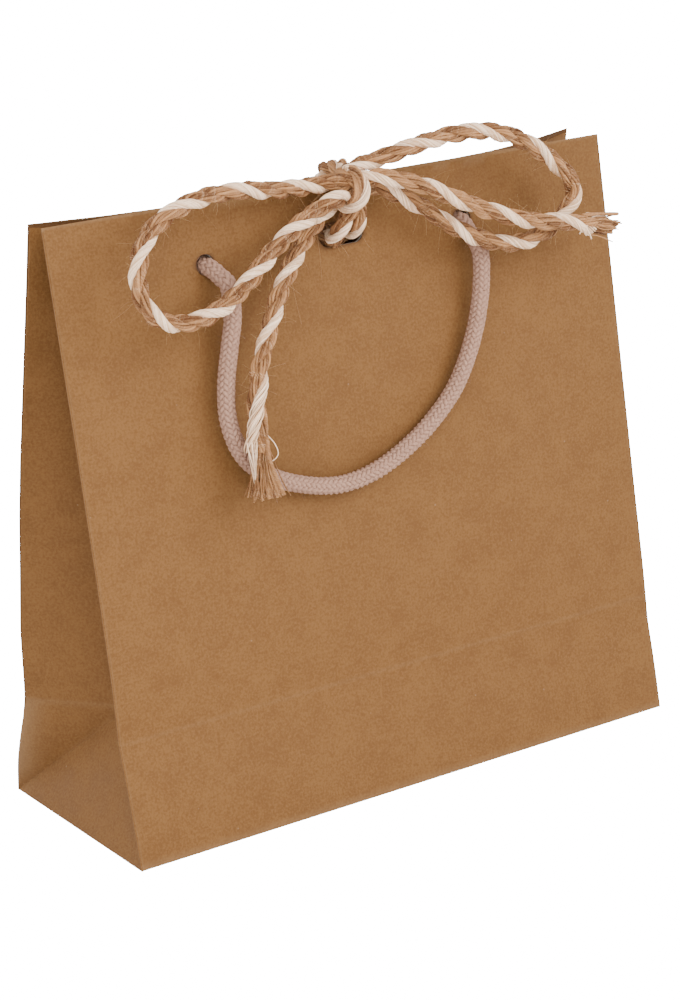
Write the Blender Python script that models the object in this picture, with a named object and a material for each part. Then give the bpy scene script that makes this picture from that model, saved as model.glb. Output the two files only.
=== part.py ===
"""Kraft paper gift bag with rope handles and a tied ribbon bow.

Built as the real bag is: two walls, V-folded gussets, a folded block bottom, turned-down
hems over card strips, knotted rope handles and a three-strand ribbon tied over the mouth.
World axes: +X along the bag's width, -Y out of the front wall, +Z up. The origin is the
centre of the base, on the surface that the bag stands on.
"""

import math

import bmesh
import bpy
from mathutils import Vector

# ---- the bag, in metres ---------------------------------------------------------------
WIDTH = 0.210
DEPTH = 0.080
WALL_HEIGHT = 0.200          # along the wall, which leans in
MOUTH = 0.012                # between the outer faces at the top
PAPER = 0.0004
CARD = 0.0008
GAP = 0.0003

HEM_HEIGHT = 0.034
STRIP_HEIGHT = 0.030
INNER_HALF_WIDTH = 0.062     # hem and strip reach to the gussets' centre folds
FOLD_ROW = 0.020             # spacing of the rows that a twisted gusset leaf is built from
TRIANGLE_PULL_BACK = 0.952   # keeps the base triangle clear of the leaves beside it

FLAP_OVERLAP = 0.008
SIDE_FLAP_REACH = 0.042
BOTTOM_CLEAR = 0.0015
BOARD_LENGTH = 0.200
BOARD_DEPTH = 0.073
SEAM_FROM = 0.084
SEAM_WIDTH = 0.012
SEAM_FOOT = 0.006

# ---- holes ----------------------------------------------------------------------------
HOLE_HEIGHT = 0.1805         # along the wall
HOLE_LEFT = -0.0515
HOLE_RIGHT = 0.0460
HOLE_RADIUS = 0.0035
SLOT_HEIGHT = 0.1825
SLOT_LEFT = -0.0060          # centres of the slot's two round ends
SLOT_RIGHT = 0.0038
SLOT_RADIUS = 0.0036
ROUND_STEPS = 24

# ---- ropes ----------------------------------------------------------------------------
ROPE = 0.0060
RIBBON = 0.0060
POINT_EVERY = 2.5            # tube points, in diameters
HANDLE_STAND_OFF = 0.0070    # from the wall's outer face to the handle's swing axis
STUB_FRONT = 0.0037          # how far the fixed rope stands out of its hole
KNOT_START = 0.0025
KNOT_THICK = 0.0064
KNOT_RADIUS = 0.0055
BOW_CENTRE = (0.0008, 0.0103, 0.1963)
BOW_RADII = (0.0058, 0.0060, 0.0070)
FRAY_LENGTH = 0.011
FRAY_SPREAD = 1.45

LEAN = math.asin((DEPTH - MOUTH) / 2 / WALL_HEIGHT)

# ---- colours --------------------------------------------------------------------------
KRAFT = (0.376, 0.195, 0.080)
KRAFT_INSIDE = (0.340, 0.180, 0.075)
GREY_CARD = (0.330, 0.290, 0.240)
MAUVE_COTTON = (0.480, 0.350, 0.305)
JUTE = (0.510, 0.290, 0.150)

# Routes are (x, stand-off from the front wall's outer face, height along the wall).
HANDLE_ROUTE = [
    (-0.0515, 0.0070, 0.1805),
    (-0.0490, 0.0072, 0.1735),
    (-0.0490, 0.0070, 0.1640),
    (-0.0515, 0.0064, 0.1540),
    (-0.0540, 0.0056, 0.1430),
    (-0.0545, 0.0050, 0.1320),
    (-0.0510, 0.0046, 0.1210),
    (-0.0430, 0.0044, 0.1130),
    (-0.0310, 0.0043, 0.1075),
    (-0.0170, 0.0043, 0.1045),
    (-0.0030, 0.0043, 0.1060),
    (0.0110, 0.0045, 0.1115),
    (0.0230, 0.0048, 0.1190),
    (0.0330, 0.0053, 0.1285),
    (0.0410, 0.0060, 0.1420),
    (0.0458, 0.0066, 0.1560),
    (0.0474, 0.0070, 0.1690),
    (0.0460, 0.0070, 0.1805),
]

LEFT_LOOP_ROUTE = [
    (-0.0080, 0.0068, 0.1992),
    (-0.0180, 0.0090, 0.1995),
    (-0.0320, 0.0110, 0.2005),
    (-0.0440, 0.0130, 0.2020),
    (-0.0560, 0.0145, 0.2020),
    (-0.0660, 0.0155, 0.2005),
    (-0.0750, 0.0160, 0.1970),
    (-0.0815, 0.0165, 0.1915),
    (-0.0850, 0.0170, 0.1845),
    (-0.0855, 0.0170, 0.1770),
    (-0.0825, 0.0170, 0.1705),
    (-0.0755, 0.0165, 0.1665),
    (-0.0665, 0.0160, 0.1660),
    (-0.0580, 0.0155, 0.1680),
    (-0.0500, 0.0150, 0.1720),
    (-0.0420, 0.0145, 0.1775),
    (-0.0330, 0.0140, 0.1840),
    (-0.0240, 0.0135, 0.1890),
    (-0.0160, 0.0130, 0.1925),
    (-0.0085, 0.0128, 0.1945),
]

LEFT_TAIL_ROUTE = [
    (-0.0095, 0.0050, 0.1905),
    (-0.0160, 0.0062, 0.1860),
    (-0.0220, 0.0080, 0.1810),
    (-0.0280, 0.0100, 0.1755),
    (-0.0335, 0.0112, 0.1690),
    (-0.0375, 0.0120, 0.1625),
    (-0.0410, 0.0122, 0.1560),
    (-0.0445, 0.0122, 0.1490),
    (-0.0470, 0.0121, 0.1410),
    (-0.0485, 0.0120, 0.1320),
    (-0.0495, 0.0118, 0.1220),
]

RIGHT_LOOP_ROUTE = [
    (0.0088, 0.0090, 0.2040),
    (0.0160, 0.0110, 0.2055),
    (0.0260, 0.0125, 0.2072),
    (0.0370, 0.0135, 0.2082),
    (0.0480, 0.0145, 0.2080),
    (0.0590, 0.0152, 0.2050),
    (0.0685, 0.0158, 0.1995),
    (0.0765, 0.0163, 0.1925),
    (0.0810, 0.0168, 0.1850),
    (0.0785, 0.0158, 0.1785),
    (0.0715, 0.0148, 0.1735),
    (0.0620, 0.0143, 0.1705),
    (0.0520, 0.0138, 0.1710),
    (0.0420, 0.0132, 0.1745),
    (0.0330, 0.0122, 0.1800),
    (0.0240, 0.0105, 0.1870),
    (0.0160, 0.0088, 0.1925),
    (0.0090, 0.0075, 0.1960),
]

RIGHT_TAIL_ROUTE = [
    (0.0090, 0.0150, 0.1985),
    (0.0150, 0.0165, 0.1965),
    (0.0230, 0.0185, 0.1930),
    (0.0310, 0.0200, 0.1885),
    (0.0400, 0.0210, 0.1840),
    (0.0500, 0.0215, 0.1800),
    (0.0600, 0.0220, 0.1770),
    (0.0700, 0.0220, 0.1752),
    (0.0830, 0.0212, 0.1722),
]

# Each ribbon turn dives through the slots, climbs the back and comes over the mouth.
# Its (y, z) profile lies on the front wall first, then on the back wall.
TURN_FRONT = [(0.0066, 0.1868), (0.0064, 0.1852), (0.0050, 0.1833), (0.0024, 0.1825), (-0.0011, 0.1825)]
TURN_BACK = [(-0.0011, 0.1825), (0.0024, 0.1825), (0.0049, 0.1842), (0.0052, 0.1880), (0.0042, 0.1940)]
TURN_OVER = [(0.0092, 0.1987), (0.0068, 0.2009), (0.0020, 0.2018), (-0.0035, 0.2018), (-0.0085, 0.2014)]


# ---- helpers --------------------------------------------------------------------------
def clear_scene():
    for thing in list(bpy.data.objects):
        bpy.data.objects.remove(thing, do_unlink=True)


def finish_material(name, colour, roughness):
    """A plain Principled material."""
    material = bpy.data.materials.new(name)
    material.use_nodes = True
    shader = material.node_tree.nodes["Principled BSDF"]
    shader.inputs["Base Color"].default_value = (*colour, 1.0)
    shader.inputs["Roughness"].default_value = roughness
    shader.inputs["Metallic"].default_value = 0.0
    return material


def add_object(name, data, colour, roughness=0.85):
    thing = bpy.data.objects.new(name, data)
    bpy.context.scene.collection.objects.link(thing)
    data.materials.append(finish_material(name + "_finish", colour, roughness))
    return thing


def mesh_from(name, form):
    """Turn a finished bmesh into mesh data with its faces pointing out."""
    bmesh.ops.recalc_face_normals(form, faces=form.faces)
    if form.calc_volume(signed=True) < 0:
        bmesh.ops.reverse_faces(form, faces=form.faces)
    data = bpy.data.meshes.new(name)
    form.to_mesh(data)
    form.free()
    return data


def on_front(x, out, up):
    """A point by its stand-off from the front wall's outer face and height along it."""
    y = -DEPTH / 2 + up * math.sin(LEAN) - out * math.cos(LEAN)
    z = up * math.cos(LEAN) + out * math.sin(LEAN)
    return Vector((x, y, z))


def on_back(x, out, up):
    point = on_front(x, out, up)
    return Vector((x, -point.y, point.z))


def thin_sheet(name, rows, depth_steps, colour):
    """A closed sheet from rows of outer points, thickened by one vector for each row."""
    form = bmesh.new()
    outer = [[form.verts.new(point) for point in row] for row in rows]
    inner = [
        [form.verts.new(point + step) for point in row]
        for row, step in zip(rows, depth_steps)
    ]
    last_row = len(rows) - 1
    last_point = len(rows[0]) - 1
    for i in range(last_row):
        for j in range(last_point):
            for side in (outer, inner):
                corners = (side[i][j], side[i][j + 1], side[i + 1][j + 1], side[i + 1][j])
                form.faces.new(corners[:3])
                form.faces.new((corners[0], corners[2], corners[3]))
    rim = [(0, j) for j in range(last_point)]
    rim += [(i, last_point) for i in range(last_row)]
    rim += [(last_row, j) for j in range(last_point, 0, -1)]
    rim += [(i, 0) for i in range(last_row, 0, -1)]
    for here, after in zip(rim, rim[1:] + rim[:1]):
        a, b = outer[here[0]][here[1]], outer[after[0]][after[1]]
        c, d = inner[after[0]][after[1]], inner[here[0]][here[1]]
        form.faces.new((a, b, c, d))
    return add_object(name, mesh_from(name, form), colour)


def slab(name, outline, thickness, colour):
    """A flat closed plate from an outline of world points, thickened by one vector."""
    form = bmesh.new()
    top = [form.verts.new(point) for point in outline]
    bottom = [form.verts.new(point + thickness) for point in outline]
    form.faces.new(top)
    form.faces.new(bottom[::-1])
    for i in range(len(outline)):
        j = (i + 1) % len(outline)
        form.faces.new((top[i], bottom[i], bottom[j], top[j]))
    return add_object(name, mesh_from(name, form), colour)


def smooth_route(route, spacing):
    """Evenly spaced points on a Catmull-Rom curve through the route's points."""
    points = [Vector(point) for point in route]
    points = [2 * points[0] - points[1]] + points + [2 * points[-1] - points[-2]]
    fine = []
    steps = 24
    for i in range(1, len(points) - 2):
        a, b, c, d = points[i - 1:i + 3]
        for k in range(steps):
            t = k / steps
            fine.append(0.5 * (2 * b + (c - a) * t + (2 * a - 5 * b + 4 * c - d) * t * t
                               + (3 * b - a - 3 * c + d) * t ** 3))
    fine.append(points[-2])
    walked = [0.0]
    for a, b in zip(fine, fine[1:]):
        walked.append(walked[-1] + (b - a).length)
    count = max(3, round(walked[-1] / spacing) + 1)
    even = []
    at = 0
    for k in range(count):
        target = walked[-1] * k / (count - 1)
        while at < len(fine) - 2 and walked[at + 1] < target:
            at += 1
        share = (target - walked[at]) / max(walked[at + 1] - walked[at], 1e-9)
        even.append(fine[at].lerp(fine[at + 1], min(share, 1.0)))
    return even


def tube(name, route, diameter, colour, spacing=POINT_EVERY, sides=3, end_scale=1.0):
    """A rope's plain tube: a beveled poly curve with filled ends."""
    points = smooth_route(route, spacing * diameter)
    data = bpy.data.curves.new(name, "CURVE")
    data.dimensions = "3D"
    data.bevel_depth = diameter / 2
    data.bevel_resolution = sides
    data.use_fill_caps = True
    spline = data.splines.new("POLY")
    spline.points.add(len(points) - 1)
    for k, (spot, point) in enumerate(zip(spline.points, points)):
        spot.co = (*point, 1.0)
        spot.radius = 1.0 + (end_scale - 1.0) * k / (len(points) - 1)
    return add_object(name, data, colour, roughness=0.9)


def turned(name, profile, place, direction, colour):
    """A round solid turned about a line: profile is (along, radius) from end to end."""
    form = bmesh.new()
    rings = []
    for along, radius in profile:
        ring = []
        for k in range(ROUND_STEPS):
            angle = math.tau * k / ROUND_STEPS
            ring.append(form.verts.new((radius * math.cos(angle), radius * math.sin(angle), along)))
        rings.append(ring)
    for lower, upper in zip(rings, rings[1:]):
        for k in range(ROUND_STEPS):
            after = (k + 1) % ROUND_STEPS
            form.faces.new((lower[k], lower[after], upper[after], upper[k]))
    form.faces.new(rings[0][::-1])
    form.faces.new(rings[-1])
    data = mesh_from(name, form)
    data.shade_smooth()
    thing = add_object(name, data, colour, roughness=0.9)
    thing.location = place
    thing.rotation_euler = direction.to_track_quat("Z", "Y").to_euler()
    return thing


# ---- walls ----------------------------------------------------------------------------
def wall_cutter(name, place):
    """One cutter for a wall's two rope holes and its ribbon slot."""
    form = bmesh.new()
    outlines = []
    for x in (HOLE_LEFT, HOLE_RIGHT):
        angles = [math.tau * k / ROUND_STEPS for k in range(ROUND_STEPS)]
        outlines.append([
            (x + HOLE_RADIUS * math.cos(a), HOLE_HEIGHT + HOLE_RADIUS * math.sin(a)) for a in angles
        ])
    half = ROUND_STEPS // 2
    slot = []
    for centre, start in ((SLOT_RIGHT, -math.pi / 2), (SLOT_LEFT, math.pi / 2)):
        for k in range(half + 1):
            angle = start + math.pi * k / half
            slot.append((centre + SLOT_RADIUS * math.cos(angle),
                         SLOT_HEIGHT + SLOT_RADIUS * math.sin(angle)))
    outlines.append(slot)
    for outline in outlines:
        outside = [form.verts.new(place(x, 0.004, up)) for x, up in outline]
        inside = [form.verts.new(place(x, -0.004, up)) for x, up in outline]
        form.faces.new(outside)
        form.faces.new(inside[::-1])
        for i in range(len(outline)):
            j = (i + 1) % len(outline)
            form.faces.new((outside[i], inside[i], inside[j], outside[j]))
    cutter = add_object(name, mesh_from(name, form), GREY_CARD)
    cutter.hide_render = True
    cutter.display_type = "WIRE"
    return cutter


def cut(thing, cutter):
    holes = thing.modifiers.new("holes", "BOOLEAN")
    holes.operation = "DIFFERENCE"
    holes.solver = "EXACT"
    holes.object = cutter


def wall(side, place):
    """A wall with its card strip and turned-down hem, all pierced for rope and ribbon."""
    cutter = wall_cutter(side + "_holes_cutter", place)
    inward = place(0, -PAPER, 0) - place(0, 0, 0)
    half = WIDTH / 2
    foot_drop = math.tan(LEAN) * PAPER
    form = bmesh.new()
    section = [(0, 0), (0, WALL_HEIGHT), (-PAPER, WALL_HEIGHT), (-PAPER, foot_drop)]
    ends = [[form.verts.new(place(x, *point)) for point in section] for x in (-half, half)]
    form.faces.new(ends[0])
    form.faces.new(ends[1][::-1])
    for i in range(len(section)):
        j = (i + 1) % len(section)
        form.faces.new((ends[0][i], ends[1][i], ends[1][j], ends[0][j]))
    panel = add_object(side + "_panel", mesh_from(side + "_panel", form), KRAFT)
    cut(panel, cutter)

    reach = INNER_HALF_WIDTH
    strip_face = -(PAPER + GAP)
    hem_face = strip_face - CARD - GAP
    for name, face, height, thick, colour in (
        ("_card_strip", strip_face, STRIP_HEIGHT, CARD, GREY_CARD),
        ("_top_hem", hem_face, HEM_HEIGHT, PAPER, KRAFT_INSIDE),
    ):
        top = WALL_HEIGHT - GAP
        foot = WALL_HEIGHT - height
        outline = [place(-reach, face, foot), place(reach, face, foot),
                   place(reach, face, top), place(-reach, face, top)]
        layer = slab(side + name, outline, inward * (thick / PAPER), colour)
        cut(layer, cutter)


# ---- gussets --------------------------------------------------------------------------
def fold_line(edge_at):
    """The gusset's centre fold, from the base triangle's apex to the mouth.

    The leaf keeps its width, so the fold follows from the wall's edge: each point is one
    leaf width from the edge and as far from the last point as the rows are apart.
    """
    leaf = DEPTH / 2
    edge = edge_at(leaf)
    reach = math.sqrt(leaf ** 2 - edge.y ** 2)
    apex_tilt = math.radians(8.6)
    x = reach * math.cos(apex_tilt)
    z = edge.z - reach * math.sin(apex_tilt)
    line = [(x, z)]
    heights = [leaf]
    while heights[-1] < WALL_HEIGHT - 1e-6:
        heights.append(min(heights[-1] + FOLD_ROW, WALL_HEIGHT))
        edge = edge_at(heights[-1])
        reach = math.sqrt(leaf ** 2 - edge.y ** 2)
        step = heights[-1] - heights[-2]
        gap_x, gap_z = -x, edge.z - z
        apart = math.hypot(gap_x, gap_z)
        along = (apart ** 2 + step ** 2 - reach ** 2) / (2 * apart)
        aside = math.sqrt(max(step ** 2 - along ** 2, 0.0))
        ux, uz = gap_x / apart, gap_z / apart
        x, z = x + along * ux + aside * uz, z + along * uz - aside * ux
        line.append((x, z))
    return heights, line


def leaf_rows(hand, edge_at):
    """Rows of (wall edge, fold) points for one leaf; hand is -1 on the left, 1 on the right."""
    leaf = DEPTH / 2
    heights, line = fold_line(edge_at)
    side = math.copysign(1.0, edge_at(0).y)
    corner = edge_at(0)
    apex = Vector((line[0][0], side * GAP / 2, line[0][1]))
    start = Vector((0, corner.y, corner.z))
    rows = []
    for height in (0.002, 0.010, 0.020, 0.030):
        rows.append((edge_at(height), start.lerp(apex, height / leaf)))
    for height, (x, z) in zip(heights, line):
        rows.append((edge_at(height), Vector((x, side * GAP / 2, z))))
    outward = [
        [Vector((hand * (WIDTH / 2 - point.x), point.y, point.z)) for point in row]
        for row in rows
    ]
    return outward, apex


def inward_steps(rows, middle):
    """One paper thickness across each row, towards the inside of the bag."""
    steps = []
    for i, row in enumerate(rows):
        before = rows[max(i - 1, 0)]
        after = rows[min(i + 1, len(rows) - 1)]
        along = (after[0] + after[1]) - (before[0] + before[1])
        normal = along.cross(row[1] - row[0]).normalized()
        if normal.dot(middle - row[0]) < 0:
            normal = -normal
        steps.append(normal * PAPER)
    return steps


def gusset(side, hand):
    face = -(2 * PAPER + GAP)
    for wall_name, place in (("front", on_front), ("back", on_back)):
        def edge_at(height, place=place):
            return place(0, face, height)
        rows, apex = leaf_rows(hand, edge_at)
        near_wall = Vector((0, math.copysign(DEPTH / 2, rows[0][0].y), WALL_HEIGHT / 2))
        steps = inward_steps(rows, near_wall)
        thin_sheet(f"{side}_gusset_{wall_name}_leaf", rows, steps, KRAFT)
    corner = on_front(0, face, 0)
    outline = [
        Vector((hand * WIDTH / 2, corner.y, 0)),
        Vector((hand * WIDTH / 2, -corner.y, 0)),
        Vector((hand * (WIDTH / 2 - apex.x), 0, apex.z)),
    ]
    middle = sum(outline, Vector()) / 3
    outline = [middle + (point - middle) * TRIANGLE_PULL_BACK for point in outline]
    normal = (outline[1] - outline[0]).cross(outline[2] - outline[0]).normalized()
    if normal.x * hand > 0:
        normal = -normal
    slab(f"{side}_base_triangle", outline, normal * PAPER, KRAFT)


# ---- bottom ---------------------------------------------------------------------------
def plate(name, x_span, y_span, foot, thick, colour):
    (x0, x1), (y0, y1) = x_span, y_span
    outline = [Vector((x0, y0, foot)), Vector((x1, y0, foot)),
               Vector((x1, y1, foot)), Vector((x0, y1, foot))]
    return slab(name, outline, Vector((0, 0, thick)), colour)


def bottom():
    """Four glued flaps, outermost first, with a loose board on top of them."""
    half_x = WIDTH / 2 - BOTTOM_CLEAR
    half_y = DEPTH / 2 - BOTTOM_CLEAR
    pitch = PAPER + GAP
    plate("bottom_front_flap", (-half_x, half_x), (-half_y + 0.0005, FLAP_OVERLAP), 0, PAPER, KRAFT)
    plate("bottom_back_flap", (-half_x + pitch, half_x - pitch), (-FLAP_OVERLAP, half_y),
          pitch, PAPER, KRAFT)
    inner = WIDTH / 2 - 2 * BOTTOM_CLEAR
    side_y = half_y - 0.0015
    for side, hand in (("left", -1), ("right", 1)):
        ends = sorted((hand * inner, hand * (inner - SIDE_FLAP_REACH)))
        plate(f"bottom_{side}_flap", ends, (-side_y, side_y), 2 * pitch, PAPER, KRAFT_INSIDE)
    plate("base_board", (-BOARD_LENGTH / 2, BOARD_LENGTH / 2),
          (-BOARD_DEPTH / 2, BOARD_DEPTH / 2), 3 * pitch, CARD, GREY_CARD)


def back_seam():
    """The sheet's own glue lap, inside the back wall near its right edge."""
    face = -(PAPER + GAP)
    left, right = SEAM_FROM, SEAM_FROM + SEAM_WIDTH
    outline = [on_back(left, face, SEAM_FOOT), on_back(right, face, SEAM_FOOT),
               on_back(right, face, WALL_HEIGHT - GAP), on_back(left, face, WALL_HEIGHT - GAP)]
    inward = on_back(0, -PAPER, 0) - on_back(0, 0, 0)
    slab("back_seam_flap", outline, inward, KRAFT_INSIDE)


# ---- ropes ----------------------------------------------------------------------------
def swing_empty(name, place):
    """An empty on the handle's swing axis, midway between its holes."""
    pivot = bpy.data.objects.new(name, None)
    pivot.empty_display_size = 0.01
    pivot.location = place((HOLE_LEFT + HOLE_RIGHT) / 2, HANDLE_STAND_OFF, HOLE_HEIGHT)
    bpy.context.scene.collection.objects.link(pivot)
    return pivot


def handle(side, place):
    """The swinging rope, and the fixed ends that pass the holes to knots inside."""
    pivot = swing_empty(side + "_handle_swing", place)
    route = [place(*point) - pivot.location for point in HANDLE_ROUTE]
    rope = tube(side + "_handle_rope", route, ROPE, MAUVE_COTTON)
    rope.parent = pivot
    radius = ROPE / 2
    thick = KNOT_THICK
    for end, x in (("left", HOLE_LEFT), ("right", HOLE_RIGHT)):
        profile = [(-STUB_FRONT, radius), (KNOT_START, radius)]
        for share, bulge in ((0.06, 0.78), (0.25, 0.95), (0.5, 1.0), (0.75, 0.95), (0.94, 0.74)):
            profile.append((KNOT_START + share * thick, KNOT_RADIUS * bulge))
        profile.append((KNOT_START + thick, KNOT_RADIUS * 0.45))
        inward = (place(x, -1, HOLE_HEIGHT) - place(x, 0, HOLE_HEIGHT)).normalized()
        turned(f"{side}_handle_{end}_knot", profile, place(x, 0, HOLE_HEIGHT), inward, MAUVE_COTTON)


def bow_knot():
    """The bow's knot, one rounded lump that the loops and tails leave."""
    form = bmesh.new()
    bmesh.ops.create_uvsphere(form, u_segments=20, v_segments=12, radius=1.0)
    centre = on_front(*BOW_CENTRE)
    across = Vector((1, 0, 0))
    out = on_front(0, 1, 0) - on_front(0, 0, 0)
    up = on_front(0, 0, 1) - on_front(0, 0, 0)
    for vert in form.verts:
        a, b, c = (share * radius for share, radius in zip(vert.co, BOW_RADII))
        vert.co = centre + across * a + out * b + up * c
    data = mesh_from("ribbon_knot", form)
    data.shade_smooth()
    add_object("ribbon_knot", data, JUTE, roughness=0.95)


def ribbon_turn(name, slot_x, over_x, end_x):
    """One turn of ribbon: knot, both slots, up the back wall and over the mouth."""
    route = []
    last = len(TURN_FRONT) - 1
    for k, (out, up) in enumerate(TURN_FRONT):
        x = slot_x + (end_x - slot_x) * (1 - k / last) * 0.4
        route.append(on_front(x, out, up))
    for k, (out, up) in enumerate(TURN_BACK):
        x = slot_x + (over_x - slot_x) * max(0, k - 1) / len(TURN_BACK)
        route.append(on_back(x, out, up))
    last = len(TURN_OVER) - 1
    for k, (y, z) in enumerate(TURN_OVER):
        x = over_x + (end_x - over_x) * (k / last) ** 2
        route.append(Vector((x, y, z)))
    tube(name, route, RIBBON, JUTE, spacing=0.45)


def bow():
    bow_knot()
    ribbon_turn("ribbon_left_turn", SLOT_LEFT, -0.0082, -0.0047)
    ribbon_turn("ribbon_right_turn", SLOT_RIGHT, -0.0012, 0.0018)
    tube("ribbon_left_loop", [on_front(*p) for p in LEFT_LOOP_ROUTE], RIBBON, JUTE, spacing=0.8)
    tube("ribbon_right_loop", [on_front(*p) for p in RIGHT_LOOP_ROUTE], RIBBON, JUTE, spacing=0.8)
    for side, route in (("left", LEFT_TAIL_ROUTE), ("right", RIGHT_TAIL_ROUTE)):
        points = [on_front(*p) for p in route]
        tube(f"ribbon_{side}_tail", points, RIBBON, JUTE, spacing=1.5)
        heading = (points[-1] - points[-2]).normalized()
        start = points[-1] + heading * GAP
        brush = [start, start + heading * FRAY_LENGTH / 2, start + heading * FRAY_LENGTH]
        tube(f"ribbon_{side}_frayed_end", brush, RIBBON, JUTE, spacing=1.0, end_scale=FRAY_SPREAD)


def build():
    clear_scene()
    wall("front", on_front)
    wall("back", on_back)
    gusset("left", -1)
    gusset("right", 1)
    bottom()
    back_seam()
    handle("front", on_front)
    handle("back", on_back)
    bow()


build()
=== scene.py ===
import math
from contextlib import contextmanager

import bmesh
import bpy
import numpy as np
from mathutils import Matrix, Vector


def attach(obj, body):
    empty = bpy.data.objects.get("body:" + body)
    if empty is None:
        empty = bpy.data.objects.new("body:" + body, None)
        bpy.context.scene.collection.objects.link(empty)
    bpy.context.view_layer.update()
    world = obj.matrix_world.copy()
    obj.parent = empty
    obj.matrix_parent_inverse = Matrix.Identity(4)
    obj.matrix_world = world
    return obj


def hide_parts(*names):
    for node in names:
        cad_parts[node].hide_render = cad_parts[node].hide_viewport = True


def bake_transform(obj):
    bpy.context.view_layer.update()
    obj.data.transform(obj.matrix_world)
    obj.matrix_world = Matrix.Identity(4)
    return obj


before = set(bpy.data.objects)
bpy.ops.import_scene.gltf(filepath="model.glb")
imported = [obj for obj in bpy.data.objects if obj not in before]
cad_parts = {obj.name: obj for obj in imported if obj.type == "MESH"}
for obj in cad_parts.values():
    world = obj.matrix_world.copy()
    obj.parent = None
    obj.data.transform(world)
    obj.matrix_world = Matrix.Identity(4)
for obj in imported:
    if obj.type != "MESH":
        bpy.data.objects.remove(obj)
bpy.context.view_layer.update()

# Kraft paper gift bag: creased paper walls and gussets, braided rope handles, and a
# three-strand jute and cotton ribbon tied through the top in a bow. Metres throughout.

# The bag's own dimensions, as in the CAD, apart from the rope holes.
HALF_WIDTH, HALF_DEPTH, MOUTH_HALF = 0.105, 0.040, 0.006
WALL = 0.200
PAPER, CARD, GAP = 0.0004, 0.0008, 0.0003
HEM = 0.034
STRIP = 0.030
INNER_HALF_WIDTH = 0.062
CREASE = 0.040
HOLE_HEIGHT = 0.1805
HOLE_XS = (-0.0515, 0.0460)
HOLE_RADIUS = 0.0033     # 0.0035 in the CAD
SLOT_HEIGHT = 0.1825
SLOT_XS = (-0.0060, 0.0038)
SLOT_RADIUS = 0.0036
LEAN = math.asin((HALF_DEPTH - MOUTH_HALF) / WALL)
ROPE, RIBBON = 0.0060, 0.0060
FULL_TURN = 2 * math.pi

# Routes repeat the CAD's points: (x, distance off the front wall, height along the wall).
HANDLE_ROUTE = [
    (-.0515, .007, .1805), (-.049, .0072, .1735), (-.049, .007, .164), (-.0515, .0064, .154),
    (-.054, .0056, .143), (-.0545, .005, .132), (-.051, .0046, .121), (-.043, .0044, .113),
    (-.031, .0043, .1075), (-.017, .0043, .1045), (-.003, .0043, .106), (.011, .0045, .1115),
    (.023, .0048, .119), (.033, .0053, .1285), (.041, .006, .142), (.0458, .0066, .156),
    (.0474, .007, .169), (.046, .007, .1805)]
LEFT_LOOP_ROUTE = [
    (-.008, .0068, .1992), (-.018, .009, .1995), (-.032, .011, .2005), (-.044, .013, .202),
    (-.056, .0145, .202), (-.066, .0155, .2005), (-.075, .016, .197), (-.0815, .0165, .1915),
    (-.085, .017, .1845), (-.0855, .017, .177), (-.0825, .017, .1705), (-.0755, .0165, .1665),
    (-.0665, .016, .166), (-.058, .0155, .168), (-.05, .015, .172), (-.042, .0145, .1775),
    (-.033, .014, .184), (-.024, .0135, .189), (-.016, .013, .1925), (-.0085, .0128, .1945)]
LEFT_TAIL_ROUTE = [
    (-.0095, .005, .1905), (-.016, .0062, .186), (-.022, .008, .181), (-.028, .01, .1755),
    (-.0335, .0112, .169), (-.0375, .012, .1625), (-.041, .0122, .156), (-.0445, .0122, .149),
    (-.047, .0121, .141), (-.0485, .012, .132), (-.0495, .0118, .122)]
RIGHT_LOOP_ROUTE = [
    (.0088, .009, .204), (.016, .011, .2055), (.026, .0125, .2072), (.037, .0135, .2082),
    (.048, .0145, .208), (.059, .0152, .205), (.0685, .0158, .1995), (.0765, .0163, .1925),
    (.081, .0168, .185), (.0785, .0158, .1785), (.0715, .0148, .1735), (.062, .0143, .1705),
    (.052, .0138, .171), (.042, .0132, .1745), (.033, .0122, .18), (.024, .0105, .187),
    (.016, .0088, .1925), (.009, .0075, .196)]
RIGHT_TAIL_ROUTE = [
    (.009, .015, .1985), (.015, .0165, .1965), (.023, .0185, .193), (.031, .02, .1885),
    (.04, .021, .184), (.05, .0215, .18), (.06, .022, .177), (.07, .022, .1752),
    (.083, .0212, .1722)]

random = np.random.default_rng(7)


# ---- camera and placing

CAMERA_TURN, CAMERA_LIFT, CAMERA_ROLL = -33.878, 17.939, -2.22    # degrees
CAMERA_PLACE = (-0.48161, -0.71856, 0.36842)
CAMERA_LENS = 99.016


def placed(name, data):
    """A new object in the scene."""
    thing = bpy.data.objects.new(name, data)
    bpy.context.collection.objects.link(thing)
    return thing


def add_camera():
    """The viewing angle, as turn and lift about the bag, with a slight roll."""
    turn, lift, roll = map(math.radians, (CAMERA_TURN, CAMERA_LIFT, CAMERA_ROLL))
    level = math.cos(lift)
    back = Vector((math.sin(turn) * level, -math.cos(turn) * level, math.sin(lift)))
    right = Vector((math.cos(turn), math.sin(turn), 0))
    up = back.cross(right)
    side = math.cos(roll) * right + math.sin(roll) * up
    top = math.cos(roll) * up - math.sin(roll) * right
    data = bpy.data.cameras.new("camera")
    data.lens = CAMERA_LENS
    camera = placed("camera", data)
    facing = Matrix((side, top, back)).transposed().to_4x4()
    camera.matrix_world = Matrix.Translation(CAMERA_PLACE) @ facing
    bpy.context.scene.camera = camera


def on_front(x, out, up):
    """A point from its distance off the front wall's flat outer face and its height along it."""
    y = -HALF_DEPTH + up * math.sin(LEAN) - out * math.cos(LEAN)
    z = up * math.cos(LEAN) + out * math.sin(LEAN)
    return np.array([x, y, z])


def on_back(x, out, up):
    """The same for the back wall, which mirrors the front one."""
    return on_front(x, out, up) * [1, -1, 1]


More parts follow.
